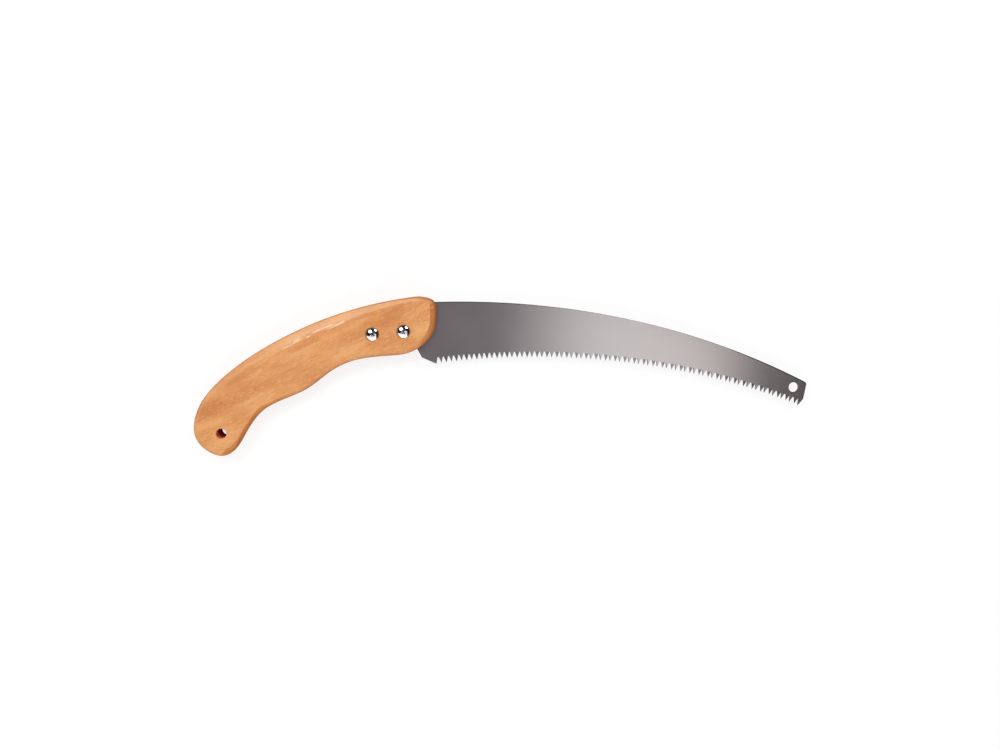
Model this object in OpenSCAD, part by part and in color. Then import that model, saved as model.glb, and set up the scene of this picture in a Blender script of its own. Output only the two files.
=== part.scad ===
// Pruning handsaw: a curved fixed blade held in the sawn slot of a one-piece wooden handle.
// The saw lies on its side. X runs along the back of the blade to its tip, Y from the teeth to the
// back of the blade, and Z up through the thickness. The origin is on the axis of the hang hole,
// in the lower face of the handle.

/* [Handle] */
// Thickness of the wood
handle_t = 19; // [16:0.5:24]
// Radius of the rounding along every edge of the wood
edge_round = 4.5; // [2:0.5:6]
// Radius of the curved back of the handle
back_radius = 303; // [270:1:360]
// Length along the back from the hang hole to the front end
hang_to_front = 215.7; // [205:0.1:235]
// Length along the back from the hang hole to the butt end
butt_margin = 21; // [18:0.5:26]
// Slope of the handle's back at the front end, against the back of the blade
front_slope = 3.7; // [0:0.05:8]
// Depth of the handle over the screws, the nose of its underside
nose_depth = 44.5; // [42:0.5:48]
// Length from the front end to the nose's lowest point
nose_from_front = 40.7; // [38:0.1:46]
// Depth of the handle at the waist behind the screws
waist_depth = 39.3; // [36:0.1:43]
// Length from the front end to the waist
waist_from_front = 84.7; // [80:0.1:92]
// Depth of the handle at the belly that fills the palm
belly_depth = 45; // [41:0.5:49]
// Length from the hang hole to the belly
belly_at = 85; // [78:1:92]
// Depth of the handle at the neck that the little finger hooks round
neck_depth = 40.3; // [37:0.1:43]
// Length from the hang hole to the neck
neck_at = 38; // [34:1:42]
// Depth of the handle at the butt, under its curved back
butt_depth = 49; // [46:0.5:53]
// Depth of the hang hole under the curved back
hang_depth = 33; // [30:0.5:36]
// Diameter of the hang hole
hang_hole_d = 8; // [5:0.5:12]

/* [Blade] */
// Thickness of the blade
blade_t = 1.2; // [0.8:0.1:1.6]
// Distance between neighbouring tooth points, along the toothed edge
tooth_pitch = 4.22; // [3.6:0.01:5]
// Number of tooth points
tooth_count = 78; // [60:1:84]
// Height of a tooth
tooth_h = 5.2; // [3.5:0.1:6]
// Flat bottom of the gullet between two teeth
gullet_w = 0.6; // [0.3:0.1:1]
// Angle at which the flanks of a tooth are filed across the blade
fleam = 20; // [0:1:30]
// Sideways bend of each tooth point out of the blade
tooth_set = 0.45; // [0.2:0.05:0.7]
// Radius of the hollow toothed edge
edge_radius = 679; // [580:1:760]
// Slope of the toothed edge at the heel
edge_slope = 6.3; // [4:0.1:10]
// Radius of the back of the blade
spine_radius = 688; // [620:1:800]
// Depth of the blade at its first tooth
heel_depth = 51.4; // [48:0.1:54]
// Depth of the blade at its last tooth
tip_depth = 21.6; // [19:0.1:26]
// Distance in X from the front screw to the first tooth
heel_from_screw = 26; // [22:0.5:32]
// Distance in Y from the front screw down to the first tooth
heel_below_screw = 27.3; // [24:0.1:31]
// Length of the toothless edge behind the first tooth
heel_edge = 12.8; // [9:0.1:15]
// Slope of that edge
heel_slope = 24; // [15:1:35]
// Lean of the heel where it enters the handle, off the Y axis
heel_lean = 28; // [15:1:35]
// Width of the tang in the handle
tang_w = 26; // [20:0.5:28]
// Distance that the full depth of the blade reaches into the handle
shoulder_in = 6; // [4:0.5:9]
// Diameter of the hole near the tip
tip_hole_d = 8.7; // [5:0.1:10]
// Distance of the tip hole behind the last tooth
tip_hole_back = 10; // [9:0.5:16]
// Height of the tip hole above the tooth points
tip_hole_up = 13.6; // [11:0.1:14]
// Distance from the last tooth to the lower corner of the end, along the edge
end_ahead = 2.8; // [1.5:0.1:6]
// Height of the lower corner of the end above the tooth points
end_up = 6.8; // [5:0.1:8]
// Lean of the end edge, off square to the toothed edge
end_lean = 9.8; // [0:0.1:15]
// Radius of the upper corner of the end
nose_round = 2.5; // [1:0.1:4]

/* [Screws] */
// Distance between the two screws
screw_pitch = 25; // [20:0.5:30]
// Length along the back from the front end to the front screw
screw_from_front = 30.2; // [28:0.1:36]
// Depth of the front screw under the back of the handle
screw_depth = 26.6; // [24:0.1:29]
// Slope of the row of screws
screw_slope = 4.5; // [0:0.1:10]
// Diameter of the screw heads and of the nut flanges
head_d = 10.8; // [9:0.1:12]
// Height of a screw head in the middle
head_h = 2.4; // [1.8:0.1:3]
// Height of a screw head at its rim
head_rim = 0.8; // [0.4:0.1:1.2]
// Depth of the seat for a screw head
head_seat = 1.4; // [0.5:0.1:2.5]
// Diameter of the screw thread
screw_d = 4; // [3:0.5:5]
// Length of the screw under its head
screw_len = 12; // [9:0.5:13]
// Length of one arm pair of the cross recess
recess_w = 5.6; // [4:0.1:6.5]
// Width of the arms of the cross recess
recess_arm = 1.1; // [0.8:0.1:1.5]
// Depth of the cross recess
recess_h = 1.9; // [1:0.1:2.2]
// Turn of the cross recess in the front screw
front_turn = 35; // [0:1:89]
// Turn of the cross recess in the rear screw
rear_turn = 60; // [0:1:89]

/* [Nuts] */
// Outer diameter of the sleeve of a nut
sleeve_d = 6.4; // [5.6:0.1:7]
// Thickness of the flange of a nut
flange_h = 1.8; // [1.4:0.1:2.4]
// Depth of the seat for a flange, which keeps it clear of what the saw lies on
flange_seat = 2.2; // [2.2:0.1:3.2]
// Width of the screwdriver slot in a nut
slot_w = 1.2; // [0.8:0.1:1.6]
// Depth of the screwdriver slot in a nut
slot_h = 0.9; // [0.5:0.1:1.1]

/* [Clearances] */
// Play of the blade in the slot of the handle, both sides together
kerf_play = 0.1; // [0:0.02:0.3]
// Play of a head or flange in its seat, on the diameter
seat_play = 0.4; // [0.2:0.1:0.8]
// Play of a sleeve in the wood and in the blade, on the diameter
sleeve_play = 0.2; // [0.1:0.05:0.4]
// Play of the screw in its sleeve, on the diameter
thread_play = 0.1; // [0.05:0.05:0.2]
// Gap between the end of the tang and the end of the slot
tang_gap = 1.5; // [0.5:0.5:4]
// Gap between the end of a sleeve and the screw head
sleeve_gap = 1; // [0.5:0.1:1.5]

/* [Hidden] */

// Facets of the small round shapes and of the two long arcs of the blade
$fn = 96;
long_arc_fn = 720;
// Points of the handle's outline between two stations, and rings round each rounded edge
outline_steps = 5;
round_rings = 5;
// Passes that bring the smooth outline onto its stations
spline_passes = 8;
// Radius of the circular saw that cuts the slot
kerf_disc_r = 100;
// How far a cutter runs past what it cuts, and how far a tooth is rooted in the blade
over = 1;
root_in = 0.8;
// Thinning of a tooth's buried root, so that it lies inside the blade
root_sink = 0.02;

// Angle of a length of arc
function arc_angle(length, radius) = length / radius * 180 / PI;
// Point at a radius and an angle off the Y axis, positive towards X
function polar(radius, angle) = radius * [sin(angle), cos(angle)];
function unit(v) = v / norm(v);
function middle(a, b, share = 0.5) = a + (b - a) * share;

// The handle is a strip bent along its curved back. A place on it is a length from the hang hole
// and a depth under the back.
hang_angle = front_slope + arc_angle(hang_to_front, back_radius);
back_centre = -polar(back_radius - hang_depth, -hang_angle);
function on_handle(place) =
    back_centre + polar(back_radius - place[1], arc_angle(place[0], back_radius) - hang_angle);

// Stations of the outline, from the front end along the underside to the butt and back over the top.
nose = [hang_to_front - nose_from_front, nose_depth];
waist = [hang_to_front - waist_from_front, waist_depth];
belly = [belly_at, belly_depth];
neck = [neck_at, neck_depth];
butt_low = [-butt_margin / 3, butt_depth];
// Rounding of the front end: lengths as shares of the nose's length, depths as shares of its depth
front_shape = [[0.02, 0.13], [0, 0.34], [0.08, 0.65], [0.31, 0.865], [0.63, 0.985]];
// Rounding of the butt: lengths as shares of its margin, depths as shares of its depth
butt_shape = [[-0.76, 0.935], [-0.985, 0.755], [-0.975, 0.53], [-0.72, 0.335], [-0.19, 0.178],
    [0.62, 0.063], [1.76, 0.012]];
// Lengths of the front's upper corner, from the front end, and its depths
corner_shape = [[24.5, 0], [13.5, 0.1], [6, 2]];
back_stations = 5;
corner_start = hang_to_front - corner_shape[0][0];
butt_end = butt_shape[len(butt_shape) - 1][0] * butt_margin;

function front_station(share) =
    [hang_to_front - share[0] * nose_from_front, share[1] * nose_depth];
function butt_station(share) = [share[0] * butt_margin, share[1] * butt_depth];
function corner_station(place) = [hang_to_front - place[0], place[1]];

stations = concat(
    [for (share = front_shape) front_station(share)],
    [nose, middle(nose, waist) - [0, 0.5], waist, middle(waist, belly) - [0, 0.8], belly],
    [middle(belly, neck), neck, middle(neck, butt_low, 0.42) - [0, 1], middle(neck, butt_low, 0.74)],
    [butt_low],
    [for (share = butt_shape) butt_station(share)],
    [for (i = [1:back_stations]) [middle(butt_end, corner_start, i / (back_stations + 1)), 0]],
    [for (place = corner_shape) corner_station(place)]);

// A closed smooth curve through all its stations: the poles of a cubic spline are moved until the
// curve meets the stations.
function ring_item(list, i) = list[(i + len(list)) % len(list)];
function station_miss(poles, places) =
    [for (i = [0:len(places) - 1])
        places[i] - (ring_item(poles, i - 1) + 4 * poles[i] + ring_item(poles, i + 1)) / 6];
function spline_poles(poles, places, passes) =
    passes == 0 ? poles : spline_poles(poles + station_miss(poles, places), places, passes - 1);
function spline_point(poles, i, t) =
    (pow(1 - t, 3) * ring_item(poles, i - 1)
        + (3 * pow(t, 3) - 6 * pow(t, 2) + 4) * poles[i]
        + (-3 * pow(t, 3) + 3 * pow(t, 2) + 3 * t + 1) * ring_item(poles, i + 1)
        + pow(t, 3) * ring_item(poles, i + 2)) / 6;

poles = spline_poles(stations, stations, spline_passes);
outline = [for (i = [0:len(poles) - 1], step = [0:outline_steps - 1])
    on_handle(spline_point(poles, i, step / outline_steps))];
outward = [for (i = [0:len(outline) - 1])
    let (along = ring_item(outline, i + 1) - ring_item(outline, i - 1))
    unit([-along[1], along[0]])];
front_x = max([for (point = outline) point[0]]);

// Places of the screws
front_place = on_handle([hang_to_front - screw_from_front, screw_depth]);
row_way = [cos(screw_slope), sin(screw_slope)];
rear_place = front_place - screw_pitch * row_way;

// Heights of the seats and of what they carry
blade_z = handle_t / 2;
head_z = handle_t - head_seat;
sleeve_top = head_z - sleeve_gap;
sleeve_hole_d = sleeve_d + sleeve_play;
seat_d = head_d + seat_play;

// The toothed edge is an arc through the tooth points, and a second one runs through the gullets.
first_tooth = front_place + [heel_from_screw, -heel_below_screw];
edge_centre = first_tooth - polar(edge_radius, -edge_slope);
root_radius = edge_radius + tooth_h;
tooth_step = arc_angle(tooth_pitch, edge_radius);
tooth_w = tooth_pitch - gullet_w;
last_angle = (tooth_count - 1) * tooth_step - edge_slope;
function on_edge(angle, height) = edge_centre + polar(edge_radius + height, angle);

// The back of the blade is an arc of its own radius through its depths at the first and last tooth.
heel_top = on_edge(-edge_slope, heel_depth);
tip_top = on_edge(last_angle, tip_depth);
chord = tip_top - heel_top;
chord_drop = sqrt(pow(spine_radius, 2) - pow(norm(chord) / 2, 2));
spine_centre = middle(heel_top, tip_top) + chord_drop * unit([chord[1], -chord[0]]);

// The end of the blade, seen from the last tooth
last_tooth = on_edge(last_angle, 0);
end_way = polar(1, last_angle - end_lean);
end_out = [end_way[1], -end_way[0]];
end_corner = last_tooth + end_ahead * [cos(last_angle), -sin(last_angle)] + polar(end_up, last_angle);
tip_hole = on_edge(last_angle - arc_angle(tip_hole_back, edge_radius), tip_hole_up);
// Centre of the rounded corner, which touches the end edge and the back of the blade
nose_foot = end_corner - nose_round * end_out;
foot_gap = nose_foot - spine_centre;
nose_reach = -foot_gap * end_way
    + sqrt(pow(foot_gap * end_way, 2) - foot_gap * foot_gap + pow(spine_radius - nose_round, 2));
nose_centre = nose_foot + nose_reach * end_way;
nose_radial = unit(nose_centre - spine_centre);

// The heel and the tang
heel_knee = first_tooth + heel_edge * [-cos(heel_slope), sin(heel_slope)];
heel_way = [-sin(heel_lean), cos(heel_lean)];
shoulder_x = front_x - shoulder_in;
shoulder_top = spine_centre
    + [shoulder_x - spine_centre[0], sqrt(pow(spine_radius, 2) - pow(shoulder_x - spine_centre[0], 2))];
row_side = [-row_way[1], row_way[0]];
tang_low = front_place - tang_w / 2 * row_side;
tang_high = front_place + tang_w / 2 * row_side;
// Where the heel's edge meets the lower side of the tang
heel_reach = ((tang_low - heel_knee) * row_side) / (heel_way * row_side);
heel_root = heel_knee + heel_reach * heel_way;

// The slot ends in the arc of the disc that cuts it, just behind the tang.
kerf_centre = rear_place + (kerf_disc_r - tang_w / 2 - tang_gap) * row_way;

module wood_block() {
    count = len(outline);
    lower = [for (k = [0:round_rings]) k * 90 / round_rings];
    rings = concat(
        [for (a = lower) [edge_round * (1 - sin(a)), edge_round * (1 - cos(a))]],
        [for (a = lower) [edge_round * (1 - cos(a)), handle_t - edge_round * (1 - sin(a))]]);
    points = [for (ring = rings, i = [0:count - 1])
        let (point = outline[i] - ring[0] * outward[i])
        [point[0], point[1], ring[1]]];
    top = (len(rings) - 1) * count;
    sides = [for (k = [0:len(rings) - 2], i = [0:count - 1])
        let (a = k * count + i, b = k * count + (i + 1) % count)
        each [[a, b, b + count], [a, b + count, a + count]]];
    // The flat faces are closed by strips from the underside across to the back.
    flats = [for (i = [0:count / 2 - 2])
        let (j = count - 1 - i)
        each [[j, i + 1, i], [j, j - 1, i + 1], [top + i, top + i + 1, top + j],
            [top + i + 1, top + j - 1, top + j]]];
    polyhedron(points, concat(sides, flats), convexity = 6);
}

module kerf() {
    kerf_w = blade_t + kerf_play;
    translate([kerf_centre[0], kerf_centre[1], blade_z - kerf_w / 2])
        cylinder(r = kerf_disc_r, h = kerf_w, $fn = long_arc_fn);
}

module fastener_hole(place) {
    translate([place[0], place[1], 0]) {
        translate([0, 0, -over])
            cylinder(d = sleeve_hole_d, h = handle_t + 2 * over);
        translate([0, 0, head_z])
            cylinder(d = seat_d, h = head_seat + over);
        translate([0, 0, -over])
            cylinder(d = seat_d, h = flange_seat + over);
    }
}

module handle() {
    color("burlywood")
    difference() {
        wood_block();
        kerf();
        fastener_hole(front_place);
        fastener_hole(rear_place);
        translate([0, 0, -over])
            cylinder(d = hang_hole_d, h = handle_t + 2 * over);
    }
}

// A tooth points down its own Y axis. Its wide face is on the side that it is bent to, and both
// flanks are filed back to the narrow face.
module tooth(side) {
    reach = tooth_h + root_in;
    wide = tooth_w / 2 * reach / tooth_h;
    narrow = max(wide - blade_t * tan(fleam), 0.1);
    face = side * (blade_t - root_sink) / 2;
    bend = side * tooth_set;
    tip_y = root_in - reach;
    short_y = root_in - reach * narrow / wide;
    short_bend = bend * narrow / wide;
    polyhedron(
        [[-wide, root_in, face], [wide, root_in, face], [0, tip_y, face + bend],
         [-narrow, root_in, -face], [narrow, root_in, -face], [0, short_y, short_bend - face]],
        side > 0
            ? [[0, 1, 2], [3, 5, 4], [0, 2, 5, 3], [1, 4, 5, 2], [0, 3, 4, 1]]
            : [[0, 2, 1], [3, 4, 5], [0, 3, 5, 2], [1, 2, 5, 4], [0, 1, 4, 3]]);
}

// A tooth at either end of the row is a corner of the plate, and isn't bent. Its flank runs on into the
// plate, past the bottom of the gullet.
module end_tooth(angle, side) {
    point = on_edge(angle, 0);
    foot = on_edge(angle + side * arc_angle(tooth_w / 2, edge_radius), tooth_h);
    inner = foot + (foot - point) * root_in / tooth_h;
    polygon(side > 0
        ? [point, inner, on_edge(angle, 2 * tooth_h), heel_knee]
        : [point, end_corner, on_edge(angle, 2 * tooth_h), inner]);
}

module plate_outline() {
    far = tip_depth + edge_round;
    difference() {
        intersection() {
            polygon([heel_knee, on_edge(-edge_slope, 0), last_tooth, end_corner,
                nose_centre + nose_round * end_out,
                nose_centre + nose_round * nose_radial,
                nose_centre + far * nose_radial,
                shoulder_top + [0, far], shoulder_top, tang_high, tang_low, heel_root]);
            translate(spine_centre)
                circle(r = spine_radius, $fn = long_arc_fn);
        }
        translate(edge_centre)
            circle(r = root_radius, $fn = long_arc_fn);
    }
    translate(nose_centre)
        circle(r = nose_round);
    end_tooth(-edge_slope, 1);
    end_tooth(last_angle, -1);
    polygon([tang_high, tang_low, tang_low - screw_pitch * row_way, tang_high - screw_pitch * row_way]);
    translate(rear_place)
        circle(d = tang_w);
}

module blade() {
    color("lightsteelblue")
    translate([0, 0, blade_z])
    difference() {
        union() {
            translate([0, 0, -blade_t / 2])
                linear_extrude(blade_t)
                    plate_outline();
            for (i = [1:tooth_count - 2])
                translate(edge_centre)
                    rotate(edge_slope - i * tooth_step)
                        translate([0, root_radius, 0])
                            tooth(i % 2 == 0 ? 1 : -1);
        }
        for (place = [front_place, rear_place])
            translate([place[0], place[1], -blade_t])
                cylinder(d = sleeve_hole_d, h = 2 * blade_t);
        translate([tip_hole[0], tip_hole[1], -blade_t])
            cylinder(d = tip_hole_d, h = 2 * blade_t);
    }
}

// A low dome over a straight rim, standing on Z = 0
module domed_disc(diameter, rim, height) {
    rise = height - rim;
    dome_r = (pow(diameter / 2, 2) + pow(rise, 2)) / (2 * rise);
    intersection() {
        cylinder(d = diameter, h = height);
        translate([0, 0, height - dome_r])
            sphere(r = dome_r, $fn = long_arc_fn / 4);
    }
}

module cross_recess() {
    intersection() {
        for (turn = [0, 90])
            rotate(turn)
                translate([-recess_w / 2, -recess_arm / 2, 0])
                    cube([recess_w, recess_arm, recess_h + over]);
        cylinder(d1 = recess_arm, d2 = recess_w * (recess_h + over) / recess_h, h = recess_h + over);
    }
}

module screw(place, turn) {
    color("silver")
    translate([place[0], place[1], head_z]) {
        difference() {
            domed_disc(head_d, head_rim, head_h);
            translate([0, 0, head_h - recess_h])
                rotate(turn)
                    cross_recess();
        }
        translate([0, 0, -screw_len])
            cylinder(d = screw_d, h = screw_len);
    }
}

// A flanged sleeve that the screw is driven into from the other side
module nut(place) {
    color("silver")
    translate([place[0], place[1], flange_seat])
    difference() {
        union() {
            mirror([0, 0, 1])
                domed_disc(head_d, flange_h / 2, flange_h);
            cylinder(d = sleeve_d, h = sleeve_top - flange_seat);
        }
        translate([0, 0, slot_h - flange_h])
            cylinder(d = screw_d + thread_play, h = handle_t);
        translate([-head_d, -slot_w / 2, -flange_h - over])
            cube([2 * head_d, slot_w, slot_h + over]);
    }
}

module front_screw() {
    screw(front_place, front_turn);
}

module rear_screw() {
    screw(rear_place, rear_turn);
}

module front_nut() {
    nut(front_place);
}

module rear_nut() {
    nut(rear_place);
}

handle();
blade();
front_screw();
rear_screw();
front_nut();
rear_nut();
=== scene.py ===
"""Pruning handsaw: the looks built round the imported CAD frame.

Lengths are worked out in millimetres, as in the part's source, and made into metres when a mesh is made.
"""

import math

import bmesh
import bpy
import numpy as np
from mathutils import Matrix, Vector
from mathutils.geometry import delaunay_2d_cdt


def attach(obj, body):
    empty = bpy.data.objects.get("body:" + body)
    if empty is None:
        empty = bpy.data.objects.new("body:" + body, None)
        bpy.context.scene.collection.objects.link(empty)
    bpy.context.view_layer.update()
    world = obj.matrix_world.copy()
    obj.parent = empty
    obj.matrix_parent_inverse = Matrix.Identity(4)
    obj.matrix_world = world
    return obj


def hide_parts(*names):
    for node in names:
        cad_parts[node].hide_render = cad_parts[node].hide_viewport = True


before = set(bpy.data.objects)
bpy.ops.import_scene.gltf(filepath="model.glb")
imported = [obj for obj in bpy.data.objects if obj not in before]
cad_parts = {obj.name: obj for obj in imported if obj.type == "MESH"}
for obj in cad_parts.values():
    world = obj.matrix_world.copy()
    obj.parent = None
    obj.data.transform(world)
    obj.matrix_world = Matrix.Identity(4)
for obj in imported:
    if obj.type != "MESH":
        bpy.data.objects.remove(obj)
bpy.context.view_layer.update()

MM = 0.001

# Sizes, as in the part's source

HANDLE_T = 19.0
EDGE_ROUND = 4.5
BACK_RADIUS = 303.0
HANG_TO_FRONT = 215.7
BUTT_MARGIN = 21.0
FRONT_SLOPE = 3.7
NOSE_DEPTH = 44.5
NOSE_FROM_FRONT = 40.7
WAIST_DEPTH = 39.3
WAIST_FROM_FRONT = 84.7
BELLY_DEPTH = 45.0
BELLY_AT = 85.0
NECK_DEPTH = 40.3
NECK_AT = 38.0
BUTT_DEPTH = 49.0
HANG_DEPTH = 33.0
HANG_R = 4.0

BLADE_T = 1.2
TOOTH_PITCH = 4.22
TOOTH_COUNT = 78
TOOTH_H = 5.2
GULLET_W = 0.6
FLEAM = 20.0
# The source's 0.45 starts further up, in a thinner root. This keeps the points just inside that.
TOOTH_SET = 0.43
EDGE_RADIUS = 679.0
EDGE_SLOPE = 6.3
SPINE_RADIUS = 688.0
HEEL_DEPTH = 51.4
TIP_DEPTH = 21.6
HEEL_FROM_SCREW = 26.0
HEEL_BELOW_SCREW = 27.3
HEEL_EDGE = 12.8
HEEL_SLOPE = 24.0
HEEL_LEAN = 28.0
TANG_W = 26.0
SHOULDER_IN = 6.0
TIP_HOLE_R = 4.35
TIP_HOLE_BACK = 10.0
TIP_HOLE_UP = 13.6
END_AHEAD = 2.8
END_UP = 6.8
END_LEAN = 9.8
NOSE_ROUND = 2.5

SCREW_PITCH = 25.0
SCREW_FROM_FRONT = 30.2
SCREW_DEPTH = 26.6
SCREW_SLOPE = 4.5
HEAD_R = 5.4
HEAD_H = 2.4
HEAD_RIM = 0.8
HEAD_SEAT = 1.4
SCREW_R = 2.0
SCREW_LEN = 12.0
FRONT_TURN = 35.0
REAR_TURN = 60.0
SLEEVE_R = 3.2
FLANGE_H = 1.8
FLANGE_SEAT = 2.2
SLOT_W = 1.2
SLOT_H = 0.9
KERF_W = 1.3
SEAT_R = 5.6
SLEEVE_HOLE_R = 3.3
THREAD_HOLE_R = 2.05
KERF_DISC_R = 100.0
TANG_GAP = 1.5

BLADE_Z = HANDLE_T / 2
HEAD_Z = HANDLE_T - HEAD_SEAT
HEAD_GAP = 1.0
SLEEVE_TOP = HEAD_Z - HEAD_GAP

# How far a cutter runs past what it cuts
OVER = 1.0


def polar(radius, degrees):
    """Point at a radius and an angle off the Y axis, positive towards X."""
    a = math.radians(degrees)
    return np.array([radius * math.sin(a), radius * math.cos(a)])


def arc_angle(length, radius):
    return math.degrees(length / radius)


def unit(v):
    return np.asarray(v, float) / np.linalg.norm(v)


def way(a):
    """Unit vector at an angle in radians off the X axis, positive towards Y."""
    return np.array([math.cos(a), math.sin(a)])


# The handle's outline

HANG_ANGLE = FRONT_SLOPE + arc_angle(HANG_TO_FRONT, BACK_RADIUS)
BACK_CENTRE = -polar(BACK_RADIUS - HANG_DEPTH, -HANG_ANGLE)
# Stations of the outline at the front end and round the butt, as shares of the length and the depth there,
# and at the front corner of the back, in millimetres from the front end.
FRONT_SHAPE = [(0.02, 0.13), (0, 0.34), (0.08, 0.65), (0.31, 0.865), (0.63, 0.985)]
BUTT_SHAPE = [(-0.76, 0.935), (-0.985, 0.755), (-0.975, 0.53), (-0.72, 0.335), (-0.19, 0.178),
              (0.62, 0.063), (1.76, 0.012)]
CORNER_SHAPE = [(24.5, 0), (13.5, 0.1), (6, 2)]
BACK_STATIONS = 5
OUTLINE_STEPS = 12
SPLINE_PASSES = 8


def on_handle(place):
    """A place on the handle: a length along its curved back from the hang hole, and a depth under it."""
    return BACK_CENTRE + polar(BACK_RADIUS - place[1], arc_angle(place[0], BACK_RADIUS) - HANG_ANGLE)


def between(a, b, share=0.5):
    return np.asarray(a, float) + (np.asarray(b, float) - a) * share


def stations():
    """Places on the handle that the outline goes through, from the front end round the underside."""
    nose, waist, belly, neck, low = np.array([
        (HANG_TO_FRONT - NOSE_FROM_FRONT, NOSE_DEPTH), (HANG_TO_FRONT - WAIST_FROM_FRONT, WAIST_DEPTH),
        (BELLY_AT, BELLY_DEPTH), (NECK_AT, NECK_DEPTH), (-BUTT_MARGIN / 3, BUTT_DEPTH)])
    start, end = BUTT_SHAPE[-1][0] * BUTT_MARGIN, HANG_TO_FRONT - CORNER_SHAPE[0][0]
    out = [(HANG_TO_FRONT - a * NOSE_FROM_FRONT, d * NOSE_DEPTH) for a, d in FRONT_SHAPE]
    out += [nose, between(nose, waist) - (0, 0.5), waist, between(waist, belly) - (0, 0.8), belly]
    out += [between(belly, neck), neck, between(neck, low, 0.42) - (0, 1), between(neck, low, 0.74), low]
    out += [(a * BUTT_MARGIN, d * BUTT_DEPTH) for a, d in BUTT_SHAPE]
    out += [(start + (end - start) * i / (BACK_STATIONS + 1), 0) for i in range(1, BACK_STATIONS + 1)]
    out += [(HANG_TO_FRONT - a, d) for a, d in CORNER_SHAPE]
    return np.array(out, float)


def handle_outline():
    """Closed smooth curve through the stations, in millimetres, clockwise seen from above."""
    places = stations()
    poles = places.copy()
    for _ in range(SPLINE_PASSES):
        poles = poles + places - (np.roll(poles, 1, 0) + 4 * poles + np.roll(poles, -1, 0)) / 6
    p0, p1, p2, p3 = (np.roll(poles, k, 0) for k in (1, 0, -1, -2))
    rows = []
    for i in range(len(poles)):
        for s in range(OUTLINE_STEPS):
            t = s / OUTLINE_STEPS
            rows.append(((1 - t) ** 3 * p0[i] + (3 * t ** 3 - 6 * t ** 2 + 4) * p1[i]
                         + (-3 * t ** 3 + 3 * t ** 2 + 3 * t + 1) * p2[i] + t ** 3 * p3[i]) / 6)
    return np.array([on_handle(r) for r in rows])


# Places

FRONT_PLACE = on_handle((HANG_TO_FRONT - SCREW_FROM_FRONT, SCREW_DEPTH))
ROW_WAY = way(math.radians(SCREW_SLOPE))
ROW_SIDE = np.array([-ROW_WAY[1], ROW_WAY[0]])
REAR_PLACE = FRONT_PLACE - SCREW_PITCH * ROW_WAY

FIRST_TOOTH = FRONT_PLACE + (HEEL_FROM_SCREW, -HEEL_BELOW_SCREW)
EDGE_CENTRE = FIRST_TOOTH - polar(EDGE_RADIUS, -EDGE_SLOPE)
TOOTH_STEP = arc_angle(TOOTH_PITCH, EDGE_RADIUS)
LAST_ANGLE = (TOOTH_COUNT - 1) * TOOTH_STEP - EDGE_SLOPE


def on_edge(degrees, height):
    """A place on the blade: an angle along its toothed edge, and a height above the tooth points."""
    return EDGE_CENTRE + polar(EDGE_RADIUS + height, degrees)


HEEL_TOP = on_edge(-EDGE_SLOPE, HEEL_DEPTH)
TIP_TOP = on_edge(LAST_ANGLE, TIP_DEPTH)
CHORD = TIP_TOP - HEEL_TOP
CHORD_DROP = math.sqrt(SPINE_RADIUS ** 2 - (np.linalg.norm(CHORD) / 2) ** 2)
SPINE_CENTRE = (HEEL_TOP + TIP_TOP) / 2 + CHORD_DROP * unit((CHORD[1], -CHORD[0]))
LAST_TOOTH = on_edge(LAST_ANGLE, 0)
END_WAY = polar(1, LAST_ANGLE - END_LEAN)
END_OUT = np.array([END_WAY[1], -END_WAY[0]])
LAST_RAD = math.radians(LAST_ANGLE)
END_CORNER = (LAST_TOOTH + END_AHEAD * np.array([math.cos(LAST_RAD), -math.sin(LAST_RAD)])
              + polar(END_UP, LAST_ANGLE))
TIP_HOLE = on_edge(LAST_ANGLE - arc_angle(TIP_HOLE_BACK, EDGE_RADIUS), TIP_HOLE_UP)
NOSE_FOOT = END_CORNER - NOSE_ROUND * END_OUT
FOOT_GAP = NOSE_FOOT - SPINE_CENTRE
NOSE_REACH = -FOOT_GAP @ END_WAY + math.sqrt(
    (FOOT_GAP @ END_WAY) ** 2 - FOOT_GAP @ FOOT_GAP + (SPINE_RADIUS - NOSE_ROUND) ** 2)
NOSE_CENTRE = NOSE_FOOT + NOSE_REACH * END_WAY
NOSE_RADIAL = unit(NOSE_CENTRE - SPINE_CENTRE)
HEEL_RAD = math.radians(HEEL_SLOPE)
HEEL_KNEE = FIRST_TOOTH + HEEL_EDGE * np.array([-math.cos(HEEL_RAD), math.sin(HEEL_RAD)])
LEAN_RAD = math.radians(HEEL_LEAN)
HEEL_WAY = np.array([-math.sin(LEAN_RAD), math.cos(LEAN_RAD)])
TANG_LOW = FRONT_PLACE - TANG_W / 2 * ROW_SIDE
TANG_HIGH = FRONT_PLACE + TANG_W / 2 * ROW_SIDE
HEEL_ROOT = HEEL_KNEE + ((TANG_LOW - HEEL_KNEE) @ ROW_SIDE) / (HEEL_WAY @ ROW_SIDE) * HEEL_WAY
KERF_CENTRE = REAR_PLACE + (KERF_DISC_R - TANG_W / 2 - TANG_GAP) * ROW_WAY


# Mesh helpers

SAME_PLACE = 1e-7
ON_AXIS = 1e-6
ROUND_SEGMENTS = 96


def add_object(name, data):
    ob = bpy.data.objects.new(name, data)
    bpy.context.scene.collection.objects.link(ob)
    return ob


def new_object(name, points, faces, body="root"):
    """A mesh object from points in millimetres. It rides on a body unless that is None."""
    mesh = bpy.data.meshes.new(name)
    mesh.from_pydata([tuple(float(c) * MM for c in p) for p in points], [], faces)
    mesh.validate()
    ob = add_object(name, mesh)
    if body:
        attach(ob, body)
    return ob


def circle(centre, radius, segments, z):
    turns = [2 * math.pi * k / segments for k in range(segments)]
    return [(centre[0] + radius * math.cos(a), centre[1] + radius * math.sin(a), z) for a in turns]


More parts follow.
